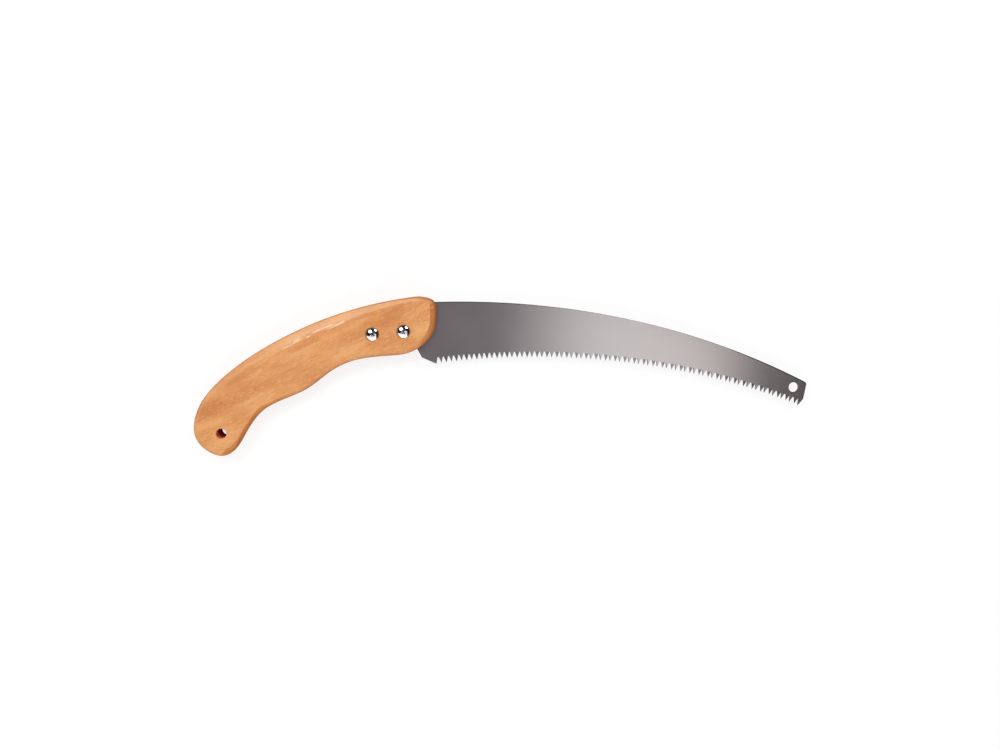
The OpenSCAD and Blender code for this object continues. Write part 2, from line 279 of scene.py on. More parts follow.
def lathe(profile, segments=ROUND_SEGMENTS, centre=(0, 0)):
    """Points and faces of a closed turned solid. Its profile runs from axis to axis, as (radius, height)."""
    points, rings = [], []
    for radius, height in profile:
        if radius < ON_AXIS:
            rings.append([len(points)])
            points.append((centre[0], centre[1], height))
            continue
        rings.append(range(len(points), len(points) + segments))
        points += circle(centre, radius, segments, height)
    faces = []
    for low, high in zip(rings, rings[1:]):
        for k in range(segments):
            n = (k + 1) % segments
            if len(low) == 1:
                faces.append((low[0], high[n], high[k]))
            elif len(high) == 1:
                faces.append((low[k], low[n], high[0]))
            else:
                faces.append((low[k], low[n], high[n], high[k]))
    return points, faces


def band(a, b):
    """Faces between two closed rows of point numbers."""
    n = len(a)
    return [(a[k], a[(k + 1) % n], b[(k + 1) % n], b[k]) for k in range(n)]


def square_off(loop):
    """The unit vectors square to a closed loop, to the left of its way round."""
    along = np.roll(loop, -1, 0) - np.roll(loop, 1, 0)
    left = np.stack([-along[:, 1], along[:, 0]], 1)
    left /= np.linalg.norm(left, axis=1)[:, None]
    return left


def prism_faces(n):
    """Faces of a prism whose points are those of its one end and then those of its other."""
    sides = [(k, k + n, (k + 1) % n + n, (k + 1) % n) for k in range(n)]
    return [tuple(range(n)), tuple(range(2 * n - 1, n - 1, -1))] + sides


def tidy_normals(ob):
    """Merges double points, turns every face outwards, and prints how many edges are left open."""
    bm = bmesh.new()
    bm.from_mesh(ob.data)
    bmesh.ops.remove_doubles(bm, verts=bm.verts, dist=SAME_PLACE)
    bmesh.ops.recalc_face_normals(bm, faces=bm.faces)
    bm.to_mesh(ob.data)
    open_edges = sum(1 for e in bm.edges if not e.is_manifold)
    bm.free()
    print(f"{ob.name}: {len(ob.data.polygons)} faces, {open_edges} open edges")


# Angles beyond which an edge stays sharp
SHARP_WOOD, SHARP_METAL = 30, 35


def shade(ob, degrees=SHARP_WOOD):
    """Smooth shading that breaks at sharp edges, and keeps large flat faces flat."""
    mesh = ob.data
    mesh.polygons.foreach_set("use_smooth", [True] * len(mesh.polygons))
    mesh.set_sharp_from_angle(angle=math.radians(degrees))
    weights = ob.modifiers.new("weights", "WEIGHTED_NORMAL")
    weights.keep_sharp = True
    weights.mode = "FACE_AREA"


def cut(ob, cutters):
    """Takes the cutters away from an object, and removes them."""
    for cutter in cutters:
        tidy_normals(cutter)
        boolean = ob.modifiers.new("cut", "BOOLEAN")
        boolean.operation = "DIFFERENCE"
        boolean.solver = "EXACT"
        boolean.object = cutter
        graph = bpy.context.evaluated_depsgraph_get()
        made = bpy.data.meshes.new_from_object(ob.evaluated_get(graph))
        ob.modifiers.clear()
        ob.data = made
        bpy.data.objects.remove(cutter)
    tidy_normals(ob)


# Handle

# Section of the rounding along the middle of the back, from the ridge of the flat face to the edge:
# share of its width, and drop in millimetres.
BACK_ROUND = 9.4
BACK_SECTION = [(0, 0), (0.04, 0.04), (0.1, 0.13), (0.2, 0.31), (0.3, 0.51), (0.4, 0.73), (0.5, 0.99),
                (0.6, 1.31), (0.7, 1.72), (0.8, 2.29), (0.87, 2.84), (0.93, 3.5), (0.97, 4.15), (0.99, 4.75),
                (1, 5.5)]
# The same for the front end and the butt, where the rounding starts with a ridge. It is widest at the
# front end, and narrowest on the inner side of the butt.
RIDGED_ROUND = 5.0
INNER_ROUND = 1.4
RIDGED_SECTION = [(0, 0), (0.03, 0.05), (0.08, 0.22), (0.16, 0.5), (0.26, 0.86), (0.37, 1.28), (0.48, 1.74),
                  (0.58, 2.22), (0.67, 2.72), (0.76, 3.3), (0.84, 3.95), (0.9, 4.6), (0.95, 5.3),
                  (0.98, 5.9), (1, 6.6)]
# Stretches over which these roundings come in or go out, in millimetres along the back from the hang hole.
# The ones named DEEP are depths under the back.
BROAD_IN, BROAD_OUT, BROAD_DEEP = (0, 60), (125, 200), (2, 12)
BUTT_IN, BUTT_OUT, BUTT_DEEP = (-18, -8), (25, 50), (30, 40)
FRONT_IN, FRONT_DEEP = (HANG_TO_FRONT - 20, HANG_TO_FRONT - 8), (3, 9)
INNER_IN = (-12, 8)
# Broken edges of the holes in the wood
SEAT_CHAMFER = 0.25
HANG_CHAMFER = 0.35
WALL_ROOM = 0.02
KERF_SEGMENTS = 720


def rounding_shares(outline):
    """How much each point of the outline has of the broad rounding along the middle of the back, and of
    the ridged one at the front end and round the butt, and how wide that one is."""
    reach = outline - BACK_CENTRE
    depth = BACK_RADIUS - np.linalg.norm(reach, axis=1)
    turned = np.arctan2(reach[:, 0], reach[:, 1])
    along = (np.degrees(turned) + HANG_ANGLE) * math.pi / 180 * BACK_RADIUS

    def eased(v, stretch):
        low, high = stretch
        t = np.clip((v - low) / (high - low), 0, 1)
        return t * t * (3 - 2 * t)

    broad = eased(along, BROAD_IN) * (1 - eased(along, BROAD_OUT)) * (1 - eased(depth, BROAD_DEEP))
    butt = eased(depth, BUTT_DEEP) * (1 - eased(along, BUTT_OUT)) * eased(along, BUTT_IN)
    front = eased(along, FRONT_IN) * eased(depth, FRONT_DEEP)
    inner = butt * eased(along, INNER_IN)
    return broad, np.maximum(butt, front), RIDGED_ROUND + (INNER_ROUND - RIDGED_ROUND) * inner


def handle_rings():
    """The handle's outline in the rings of its roundings, from the lower face to the upper one: for each
    ring its points as (x, y, z)."""
    outline = handle_outline()
    outward = square_off(outline)
    broad, ridged, wide = rounding_shares(outline)
    plain = (1 - broad) * (1 - ridged) * EDGE_ROUND
    ridged = (1 - broad) * ridged
    steps = len(BACK_SECTION) - 1
    section = []
    for k, ((part, fall), (ridge_part, ridge_fall)) in enumerate(zip(BACK_SECTION, RIDGED_SECTION)):
        turn = math.radians(90 * k / steps)
        inset = (plain * (1 - math.sin(turn)) + broad * BACK_ROUND * (1 - part)
                 + ridged * wide * (1 - ridge_part))
        drop = plain * (1 - math.cos(turn)) + broad * fall + ridged * ridge_fall * wide / RIDGED_ROUND
        section.append((inset, drop))
    heights = section + [(inset, HANDLE_T - drop) for inset, drop in reversed(section)]
    return [[(x, y, z) for (x, y), z in zip(outline - inset[:, None] * outward, height)]
            for inset, height in heights]


def wood_hole(radius, chamfer, inside=()):
    """Profile of a hole through the handle with broken edges, and what lies between them."""
    wide = radius + chamfer
    return [(0, -OVER), (wide + OVER, -OVER), (wide, 0), (radius, chamfer), *inside,
            (radius, HANDLE_T - chamfer), (wide, HANDLE_T), (wide + OVER, HANDLE_T + OVER),
            (0, HANDLE_T + OVER)]


def build_handle():
    rings = handle_rings()
    count = len(rings[0])
    points = [point for ring in rings for point in ring]
    rows = [range(k * count, (k + 1) * count) for k in range(len(rings))]
    faces = [face for a, b in zip(rows, rows[1:]) for face in band(a, b)]
    # the flat faces are strips between points that face each other across the handle
    top = (len(rings) - 1) * count
    for i in range(count // 2 - 1):
        j = count - 1 - i
        faces.append((j, j - 1, i + 1, i))
        faces.append((top + i, top + i + 1, top + j - 1, top + j))
    ob = new_object("wood_handle", points, faces)
    tidy_normals(ob)
    half = KERF_W / 2
    disc = lathe([(0, BLADE_Z - half), (KERF_DISC_R, BLADE_Z - half), (KERF_DISC_R, BLADE_Z + half),
                  (0, BLADE_Z + half)], KERF_SEGMENTS, KERF_CENTRE)
    cutters = [new_object("kerf", *disc, None)]
    steps = [(SEAT_R, FLANGE_SEAT), (SLEEVE_HOLE_R, FLANGE_SEAT), (SLEEVE_HOLE_R, HEAD_Z), (SEAT_R, HEAD_Z)]
    for place in (FRONT_PLACE, REAR_PLACE):
        seat = lathe(wood_hole(SEAT_R, SEAT_CHAMFER, steps), centre=place)
        cutters.append(new_object("seat", *seat, None))
    cutters.append(new_object("hang", *lathe(wood_hole(HANG_R, HANG_CHAMFER)), None))
    cut(ob, cutters)
    shade(ob)
    # the wall of the hang hole has the second material
    wall = (HANG_R + WALL_ROOM) * MM
    inner = [int(math.hypot(f.center.x, f.center.y) < wall) for f in ob.data.polygons]
    ob.data.polygons.foreach_set("material_index", inner)
    return ob


# Blade

# Rounding of the sheared edges: its width and its drop. The back has more of it at the tip, least along
# the middle, and more again by the handle: (share of the way from the tip, how many times as wide).
EDGE_SOFT = 0.34
EDGE_DROP = 0.22
TIP_SOFT = 3.4
HEEL_SOFT = 2.4
SPINE_SOFT = [(0, TIP_SOFT), (0.11, 3.2), (0.25, 0.9), (0.58, 0.9), (0.72, 1.9), (1, 1.7)]
# The drop grows with the width up to this many times. The holes have a width of their own.
MOST_DROP = 1.4
TIP_HOLE_SOFT = 0.55
TANG_HOLE_SOFT = 0.25
HOLE_DROP_SHARE = 0.7
SOFT_ANGLES = [math.radians(a) for a in (0, 30, 60, 90)]
# Half the width of a tooth's root on its wide face, and how much less that is on the other face
TOOTH_HALF = (TOOTH_PITCH - GULLET_W) / 2
FILED_OFF = BLADE_T * math.tan(math.radians(FLEAM))
# Into how many steps the straight edges, the nose, the back and the end of the tang are divided
LINE_STEPS = 4
NOSE_STEPS = 10
SPINE_STEPS = 180
TANG_STEPS = 24
TANG_HOLE_SEGMENTS = 48
# A face of the blade that looks up or down by this much is part of its flat sides
FLAT_Z = 0.99999


def blade_loops():
    """The blade's upper and lower contours, point by point, with the room for rounding at each point
    and the teeth: lists of (x, y), (x, y), rounding, and (index, tooth number)."""
    upper, lower, rounding, teeth = [], [], [], []

    def add(point, soft, other=None):
        upper.append(np.asarray(point, float))
        lower.append(np.asarray(point if other is None else other, float))
        rounding.append(soft)

    def add_round(centre, radius, a, soft):
        add(centre + radius * way(a), soft)

    def add_line(start, stop, soft, fading=False):
        """Points between two corners, with rounding that stays the same or fades to none."""
        for step in range(1, LINE_STEPS):
            share = step / LINE_STEPS
            add(between(start, stop, share), soft * (1 - share) if fading else soft)

    thin = TOOTH_HALF - FILED_OFF
    mean = (TOOTH_HALF + thin) / 2
    add(FIRST_TOOTH, 0)
    for i in range(TOOTH_COUNT):
        angle = i * TOOTH_STEP - EDGE_SLOPE
        across = polar(1, angle + 90)
        foot = on_edge(angle, TOOTH_H)
        if 0 < i < TOOTH_COUNT - 1:
            over, under = (TOOTH_HALF, thin) if i % 2 == 0 else (thin, TOOTH_HALF)
            teeth.append((len(upper), i))
            add(foot - over * across, 0, foot - under * across)
            add(foot + over * across, 0, foot + under * across)
        else:
            add(foot + (mean if i == 0 else -mean) * across, 0)
    add(LAST_TOOTH, 0)
    add(between(LAST_TOOTH, END_CORNER, 0.5), 0.5)
    add(END_CORNER, TIP_SOFT)
    start = math.atan2(END_OUT[1], END_OUT[0])
    stop = math.atan2(NOSE_RADIAL[1], NOSE_RADIAL[0])
    add_line(END_CORNER, NOSE_CENTRE + NOSE_ROUND * END_OUT, TIP_SOFT)
    for k in range(NOSE_STEPS + 1):
        a = start + (stop - start) * k / NOSE_STEPS
        add_round(NOSE_CENTRE, NOSE_ROUND, a, TIP_SOFT)
    shoulder_x = max(p[0] for p in handle_outline()) - SHOULDER_IN
    a0 = math.atan2(NOSE_RADIAL[0], NOSE_RADIAL[1])
    a1 = math.asin((shoulder_x - SPINE_CENTRE[0]) / SPINE_RADIUS)
    for k in range(1, SPINE_STEPS + 1):
        a = a0 + (a1 - a0) * k / SPINE_STEPS
        soft = np.interp(k / SPINE_STEPS, *zip(*SPINE_SOFT))
        add(SPINE_CENTRE + SPINE_RADIUS * np.array([math.sin(a), math.cos(a)]), soft)
    add(TANG_HIGH, 1)
    side = math.atan2(ROW_SIDE[1], ROW_SIDE[0])
    for k in range(TANG_STEPS + 1):
        a = side + math.pi * k / TANG_STEPS
        add_round(REAR_PLACE, TANG_W / 2, a, 1)
    add(TANG_LOW, 1)
    add(HEEL_ROOT, 1)
    add_line(HEEL_ROOT, HEEL_KNEE, HEEL_SOFT)
    add(HEEL_KNEE, HEEL_SOFT)
    add_line(HEEL_KNEE, FIRST_TOOTH, HEEL_SOFT, True)
    return np.array(upper), np.array(lower), np.array(rounding), teeth


def fill_flat(loops):
    """Triangles of a flat face with holes: the first loop is its rim, each as a list of 2D points."""
    points, edges = [], []
    for loop in loops:
        base, n = len(points), len(loop)
        points += [Vector((float(x), float(y))) for x, y in loop]
        edges += [(base + k, base + (k + 1) % n) for k in range(n)]
    verts, _, triangles, origins, *_ = delaunay_2d_cdt(points, edges, [], 1, SAME_PLACE)
    if len(verts) != len(points):
        raise RuntimeError(f"flat face: {len(points)} points became {len(verts)}")
    back = [o[0] for o in origins]
    rim = np.array([tuple(p) for p in loops[0]])

    def inside(p, loop):
        """Whether a line from the point towards +X crosses the loop an odd number of times."""
        x, y = p
        q = np.roll(loop, -1, 0)
        cross = (loop[:, 1] > y) != (q[:, 1] > y)
        with np.errstate(divide="ignore", invalid="ignore"):
            at = (q[:, 0] - loop[:, 0]) * (y - loop[:, 1]) / (q[:, 1] - loop[:, 1]) + loop[:, 0]
        return bool(np.sum(cross & (x < at)) % 2)

    kept = []
    for t in triangles:
        centre = np.mean([tuple(verts[v]) for v in t], axis=0)
        if inside(centre, rim) and not any(inside(centre, np.array(h)) for h in loops[1:]):
            kept.append(tuple(back[v] for v in t))
    return kept


def build_blade():
    upper, lower, rounding, teeth = blade_loops()
    count = len(upper)
    half = BLADE_T / 2
    inward = square_off(upper)
    points, faces = [], []

    def ring(contour, z_side):
        """The rounded edge, from the flat face outwards: one list of point numbers for each step."""
        rows = []
        for a in SOFT_ANGLES:
            row = []
            for k in range(count):
                if rounding[k] == 0:
                    if rows:
                        row.append(rows[0][k])
                        continue
                    place, z = contour[k], half
                else:
                    place = contour[k] + inward[k] * EDGE_SOFT * rounding[k] * (1 - math.sin(a))
                    z = half - EDGE_DROP * min(rounding[k], MOST_DROP) * (1 - math.cos(a))
                row.append(len(points))
                points.append((place[0], place[1], BLADE_Z + z_side * z))
            rows.append(row)
        return rows

    over, under = ring(upper, 1), ring(lower, -1)
    roots = {k for k, _ in teeth}

    def wall(row_a, row_b):
        """Faces between two rows, but for the openings that the teeth close."""
        for k in range(count):
            n = (k + 1) % count
            if k in roots:
                continue
            corners = tuple(dict.fromkeys((row_a[k], row_b[k], row_b[n], row_a[n])))
            if len(corners) > 2:
                faces.append(corners)

    for a, b in zip(over, over[1:]):
        wall(a, b)
    wall(over[-1], under[-1])
    for a, b in zip(under, under[1:]):
        wall(b, a)

    for k, number in teeth:
        # the wide face of a tooth is on the side that it is bent to
        side = 1 if number % 2 == 0 else -1
        angle = number * TOOTH_STEP - EDGE_SLOPE
        share = 1 - FILED_OFF / TOOTH_HALF
        long_tip = (*on_edge(angle, 0), BLADE_Z + side * (half + TOOTH_SET))
        short_tip = (*on_edge(angle, TOOTH_H * (1 - share)), BLADE_Z - side * (half - TOOTH_SET * share))
        top_tip, low_tip = len(points), len(points) + 1
        points.extend([long_tip, short_tip] if side > 0 else [short_tip, long_tip])
        (left, right), (low_left, low_right) = over[0][k:k + 2], under[0][k:k + 2]
        faces.extend([(left, right, top_tip), (low_right, low_left, low_tip),
                      (left, top_tip, low_tip, low_left), (right, low_right, low_tip, top_tip)])

    def hole(z_side, centre, radius, segments, soft):
        """The rounded edge of a hole, from the flat face inwards."""
        rows = []
        for a in SOFT_ANGLES:
            r = radius + soft * (1 - math.sin(a))
            z = BLADE_Z + z_side * (half - min(soft * HOLE_DROP_SHARE, EDGE_DROP) * (1 - math.cos(a)))
            rows.append(range(len(points), len(points) + segments))
            points.extend(circle(centre, r, segments, z))
        return rows

    holes = [(TIP_HOLE, TIP_HOLE_R, ROUND_SEGMENTS, TIP_HOLE_SOFT),
             (FRONT_PLACE, SLEEVE_HOLE_R, TANG_HOLE_SEGMENTS, TANG_HOLE_SOFT),
             (REAR_PLACE, SLEEVE_HOLE_R, TANG_HOLE_SEGMENTS, TANG_HOLE_SOFT)]
    above = [hole(1, *h) for h in holes]
    below = [hole(-1, *h) for h in holes]
    for up, down in zip(above, below):
        for rows in (up, down, (up[-1], down[-1])):
            for a, b in zip(rows, rows[1:]):
                faces.extend(band(a, b))
    for rows, rim in ((above, over[0]), (below, under[0])):
        loops = [rim] + [r[0] for r in rows]
        numbers = [v for loop in loops for v in loop]
        flat = fill_flat([[points[v][:2] for v in loop] for loop in loops])
        faces.extend(tuple(numbers[v] for v in t) for t in flat)
    ob = new_object("steel_blade", points, faces)
    tidy_normals(ob)
    mesh = ob.data
    mesh.set_sharp_from_angle(angle=math.radians(SHARP_METAL))
    mesh.polygons.foreach_set("use_smooth", [abs(f.normal.z) < FLAT_Z for f in mesh.polygons])
    return ob


# Screws and nuts

# The rim of a head or a flange: its rounding above, and its chamfer below
RIM_SOFT = 0.18
RIM_FOOT = 0.08
RIM_ANGLES = [math.radians(a) for a in (22, 44, 66)]
DOME_STEPS = 14
# The dome starts a little inside the rim, so that the rounding of the rim runs into it.
DOME_SHARE = 0.97
SCREW_SEGMENTS = 80
BORE_SEGMENTS = 64
# Ridges of the thread, the plain shank over it, and the chamfers at the ends of the screw and the nut
THREAD_PITCH = 0.7
THREAD_DEPTH = 0.35
THREAD_END = -0.8
SHANK_TOP = -0.1
SCREW_CHAMFER = 0.5
SLEEVE_CHAMFER = 0.2
# Rounding of every edge of the screws and nuts that is sharper than an angle
METAL_SOFT = 0.07
METAL_SOFT_ANGLE = 40
# The cross recess above and below, against the crown of the head: height, reach of its wings, half their
# width at the root, and half their width at the tip.
CROSS = ((0.3, 3.1, 0.75, 0.5), (-1.9, 0.9, 0.45, 0.3))
SLOT_REACH = 8.0


def dome(diameter, rim, height):
    """Profile of a low dome from its rim to its crown, as (radius, height)."""
    rise, r = height - rim, diameter / 2
    ball = (r * r + rise * rise) / (2 * rise)
    spread = math.asin(r / ball)
    rows = [(r - RIM_FOOT, 0), (r, RIM_FOOT), (r, rim - RIM_SOFT)]
    for a in RIM_ANGLES:
        rows.append((r - RIM_SOFT * (1 - math.cos(a)), rim - RIM_SOFT + RIM_SOFT * math.sin(a)))
    for k in range(1, DOME_STEPS + 1):
        a = spread * (1 - k / DOME_STEPS) * DOME_SHARE
        rows.append((ball * math.sin(a), height - ball + ball * math.cos(a)))
    rows[-1] = (0, height)
    return rows


def cross_cutter(turn):
    """A cross of four tapered wings that grow narrower and shorter downwards."""
    points = []
    for rise, reach, wide, tip in CROSS:
        for quarter in range(4):
            a = math.radians(turn + 90 * quarter)
            out, side = way(a), np.array([-math.sin(a), math.cos(a)])
            for p in (out * reach - side * tip, out * reach + side * tip, out * wide + side * wide):
                points.append((*p, HEAD_H + rise))
    return points, prism_faces(len(points) // 2)


def turned_piece(name, place, z, profile, cutters):
    """A turned piece at a place and height, without its cutters: (name, (points, faces)) for each."""
    def moved(label, shape, body=None):
        points = [(x + place[0], y + place[1], h + z) for x, y, h in shape[0]]
        return new_object(label, points, shape[1], body)

    ob = moved(name, lathe(profile, SCREW_SEGMENTS), "root")
    tidy_normals(ob)
    cut(ob, [moved(*cutter) for cutter in cutters])
    bevel = ob.modifiers.new("soften", "BEVEL")
    bevel.width = METAL_SOFT * MM
    bevel.segments = 2
    bevel.limit_method = "ANGLE"
    bevel.angle_limit = math.radians(METAL_SOFT_ANGLE)
    bevel.harden_normals = False
    shade(ob, SHARP_METAL)
    return ob


def build_screw(name, place, turn):
    profile = [(0, -SCREW_LEN), (SCREW_R - SCREW_CHAMFER, -SCREW_LEN)]
    z = -SCREW_LEN + SCREW_CHAMFER
    while z < THREAD_END:
        profile += [(SCREW_R, z), (SCREW_R - THREAD_DEPTH, z + THREAD_PITCH / 2)]
        z += THREAD_PITCH
    profile += [(SCREW_R, SHANK_TOP), (SCREW_R, 0)] + dome(2 * HEAD_R, HEAD_RIM, HEAD_H)
    return turned_piece(name, place, HEAD_Z, profile, [("cross", cross_cutter(turn))])


def build_nut(name, place):
    top = SLEEVE_TOP - FLANGE_SEAT
    profile = [(0, top), (SLEEVE_R - SLEEVE_CHAMFER, top), (SLEEVE_R, top - SLEEVE_CHAMFER), (SLEEVE_R, 0)]
    profile += [(r, -h) for r, h in dome(2 * HEAD_R, FLANGE_H / 2, FLANGE_H)]
    low = SLOT_H - FLANGE_H
    bore = lathe([(0, low), (THREAD_HOLE_R, low), (THREAD_HOLE_R, HANDLE_T), (0, HANDLE_T)], BORE_SEGMENTS)
    corners = [(sx * SLOT_REACH, sy * SLOT_W / 2) for sx, sy in ((-1, -1), (1, -1), (1, 1), (-1, 1))]
    slot = [(x, y, z) for z in (-FLANGE_H - OVER, low) for x, y in corners], prism_faces(4)
    return turned_piece(name, place, FLANGE_SEAT, profile, [("bore", bore), ("slot", slot)])


# Materials


class Nodes:
    """Short forms for building the node tree of a material or of the world."""

    def __init__(self, owner, output="ShaderNodeOutputMaterial"):
        owner.use_nodes = True
        self.owner = owner
        self.tree = owner.node_tree
        self.tree.nodes.clear()
        self.out = self.add(output)

    def finish(self, shader):
        """Links the last shader to the output, and gives back the material or world."""
        self.tree.links.new(shader, self.out.inputs[0])
        return self.owner

    def surface(self, colour, roughness, normal, others):
        """The finished material, with the inputs that not every surface has in others."""
        values = {"Base Color": colour, "Roughness": roughness, "Normal": normal, **others}
        return self.finish(self.add("ShaderNodeBsdfPrincipled", values).outputs[0])

    def glow(self, colour, strength):
        return self.add("ShaderNodeEmission", {"Color": colour, "Strength": strength}).outputs[0]

    def blend(self, factor, a, b):
        return self.add("ShaderNodeMixShader", {0: factor, 1: a, 2: b}).outputs[0]

    def matt(self, tone):
        return self.add("ShaderNodeBsdfDiffuse", {"Color": (tone, tone, tone, 1)}).outputs[0]

    def place(self, output="Object"):
        return self.add("ShaderNodeTexCoord").outputs[output]

    def normal(self):
        return self.add("ShaderNodeNewGeometry").outputs["Normal"]

    def bump(self, height, strength, distance):
        values = {"Strength": strength, "Distance": distance, "Height": height}
        return self.add("ShaderNodeBump", values).outputs[0]

    def add(self, kind, values=None, **props):
        """A node with its properties set, and its inputs linked or set."""
        made = self.tree.nodes.new(kind)
        for key, value in props.items():
            setattr(made, key, value)
        for key, value in (values or {}).items():
            socket = made.inputs[key]
            if hasattr(value, "is_output"):
                self.tree.links.new(value, socket)
            else:
                socket.default_value = value
        return made

    def math(self, operation, a, b=0.0, c=0.0):
        return self.add("ShaderNodeMath", {0: a, 1: b, 2: c}, operation=operation).outputs[0]

    def ranged(self, value, low, high, to_low=0.0, to_high=1.0):
        """A value moved from one range to another, eased and held at its ends."""
        made = self.add("ShaderNodeMapRange", {"Value": value, "From Min": low, "From Max": high,
                                               "To Min": to_low, "To Max": to_high}, clamp=True)
        made.interpolation_type = "SMOOTHSTEP"
        return made.outputs["Result"]

    def mix(self, factor, a, b, blend="MIX"):
        """Two colours mixed. A mix node keeps them in sockets 6 and 7, and gives the colour in 2."""
        made = self.add("ShaderNodeMix", {0: factor, 6: a, 7: b}, data_type="RGBA", blend_type=blend)
        return made.outputs[2]

    def noise(self, vector, scale=1.0, detail=2.0, roughness=0.5, distortion=0.0):
        made = self.add("ShaderNodeTexNoise", {"Vector": vector, "Scale": scale, "Detail": detail,
                                               "Roughness": roughness, "Distortion": distortion})
        return made.outputs["Fac"]

    def stretched(self, vector, scale):
        return self.add("ShaderNodeMapping", {"Vector": vector, "Scale": scale}).outputs[0]

    def turned(self, vector, degrees):
        """A vector in axes that are turned by an angle about Z."""
        made = self.add("ShaderNodeVectorRotate", {"Vector": vector, "Angle": math.radians(-degrees)},
                        rotation_type="Z_AXIS")
        return made.outputs[0]

    def split(self, vector):
        return tuple(self.add("ShaderNodeSeparateXYZ", {0: vector}).outputs)

    def vector(self, operation, a, b=(0.0, 0.0, 0.0)):
        made = self.add("ShaderNodeVectorMath", {0: a, 1: b}, operation=operation)
        return made.outputs["Value" if operation in ("LENGTH", "DISTANCE", "DOT_PRODUCT") else "Vector"]

    def product(self, *factors):
        made = factors[0]
        for factor in factors[1:]:
            made = self.math("MULTIPLY", made, factor)
        return made


def new_material(name):
    n = Nodes(bpy.data.materials.new(name))
    return n, n.place()


def rgb(*levels):
    """A colour written in steps of 0 to 255, as the shader's linear values."""
    parts = [v / 255 for v in levels]
    return *(v / 12.92 if v <= 0.04045 else ((v + 0.055) / 1.055) ** 2.4 for v in parts), 1.0


GRAIN_TURN = 27.0
GRAIN_WAY = way(math.radians(GRAIN_TURN))
# Each noise of the wood: how finely it repeats along the grain, across it and up, and its detail, with its
# roughness and distortion where these aren't plain
WOOD_NOISES = {
    "bands": ((11, 85, 60), 3, 0.55, 0.4), "clouds": ((22, 60, 60), 3, 0.6),
    "mottle": ((60, 230, 230), 4, 0.6, 0.6), "fibres": ((75, 1300, 1300), 3, 0.6),
    "dashes": ((230, 1000, 1000), 2), "flecks": ((310, 1500, 1500), 1), "ragged": ((60, 170, 170), 3),
    "streak_gaps": ((110, 600, 600), 4, 0.7), "gloss": ((40, 160, 160), 2), "wave": ((25, 120, 120), 2)}
SCORCHED_SCALES = (900, 900, 260)
# The growth rings: how deep under the lower face their axis runs, and how many to a metre
RING_DEPTH = 0.03
RINGS = 330.0
RING_WAVER = 3.0

WOOD_PALE, WOOD_DEEP = rgb(230, 167, 110), rgb(210, 139, 87)
DARK_PATCH, PALE_PATCH = rgb(203, 131, 80), rgb(240, 182, 128)
DARK_DASH, PALE_DASH = rgb(188, 116, 68), rgb(243, 190, 140)
FIBRE, FLECK = rgb(199, 128, 77), rgb(140, 86, 50)
# Painted sheen along the rounding of the back, and the painted highlight of the streak at its ridge
PAINTED_SHEEN, PAINTED_HIGHLIGHT = rgb(244, 192, 146), rgb(255, 216, 182)
SCORCHED_PALE, SCORCHED_DEEP = rgb(226, 130, 108), rgb(190, 88, 72)
# Painted shade on the sides of the handle: what each leaves of the colour. The end grain also soaks up more
# stain.
STEEP_SHADE = (0.78, 0.62, 0.48, 1)
END_GRAIN_SHADE = (0.76, 0.62, 0.52, 1)
INNER_SIDE_SHADE = (0.84, 0.72, 0.60, 1)

# The middle stretch of each noise that changes the wood's tone, and how much the rings and a noise add to it
BANDS_STRETCH, CLOUDS_STRETCH, MOTTLE_STRETCH = (0.3, 0.7), (0.35, 0.68), (0.35, 0.65)
RING_SHARE, NOISE_SHARE = 0.22, 0.34
TONE_STRETCH = (0.10, 1.15)
# Where each kind of mark sets in on its noise: from where, to where, from how much and to how much
FIBRE_MARKS, FLECK_MARKS = (0.45, 0.75, 0, 0.25), (0.68, 0.76, 0, 0.75)
DARK_MARKS, PALE_MARKS = (0.60, 0.74, 0, 0.48), (0.42, 0.30, 0, 0.42)
FLECK_GROUPS = (0.44, 0.58)

# Patches of the wood: centre in millimetres, reach along and across the grain, and strength.
DARK_PATCHES = [((129, 90), (30, 8.5), 0.66), ((-9, 20), (20, 8.5), 0.80), ((72, 41), (13, 7), 0.35),
                ((48, 54), (18, 7), 0.30), ((152, 67), (9, 7), 0.35), ((10, 40), (14, 4), 0.35),
                ((14, 17), (15, 8), 0.35), ((102, 76), (18, 7), 0.40), ((138, 101), (16, 5), 0.45),
                ((110, 94), (18, 4), 0.35)]
PALE_PATCHES = [((28, 28), (26, 5), 0.35), ((100, 66), (22, 5), 0.35), ((158, 84), (14, 7), 0.45),
                ((60, 63), (20, 3), 0.4), ((2, -4), (12, 9), 0.3)]
# How far noise shifts their rims, and where they begin and are full, all in shares of their reach
PATCH_WAVER = 1.1
PATCH_RIM = (1.1, 0.2)

# Where the handle's looks change, from the first number to the second: FLAT and STEEP by how much it looks
# up or down, ALONG and STOP by metres along X, and the rest by how much it looks that way. A third and a
# fourth number say from how much to how much.
# The painted sheen along the rounding of the back
SHEEN_FLAT, SHEEN_STEEP, SHEEN_BACK = (0.985, 0.955), (0.55, 0.75), (0.02, 0.10)
SHEEN_ALONG = (0.02, 0.06, 0.2, 0.50)
SIDES_STEEP = (0.75, 0.35)
GRAIN_END, GRAIN_ALONG = (0.08, 0.34), (0.140, 0.165, 0.15, 1.0)
SIDE_FLAT, SIDE_INNER, SIDE_ALONG = (0.975, 0.90), (0.05, 0.25), (0.075, 0.045)
# The painted highlight streak, where the rounding of the back begins
STREAK_FLAT, STREAK_STEEP, STREAK_BACK = (0.991, 0.987), (0.966, 0.976), (0.05, 0.12)
STREAK_ALONG, STREAK_STOP = (0.044, 0.060), (0.108, 0.088)
COAT_ALONG = (0.02, 0.07, 0.06, 0.17)
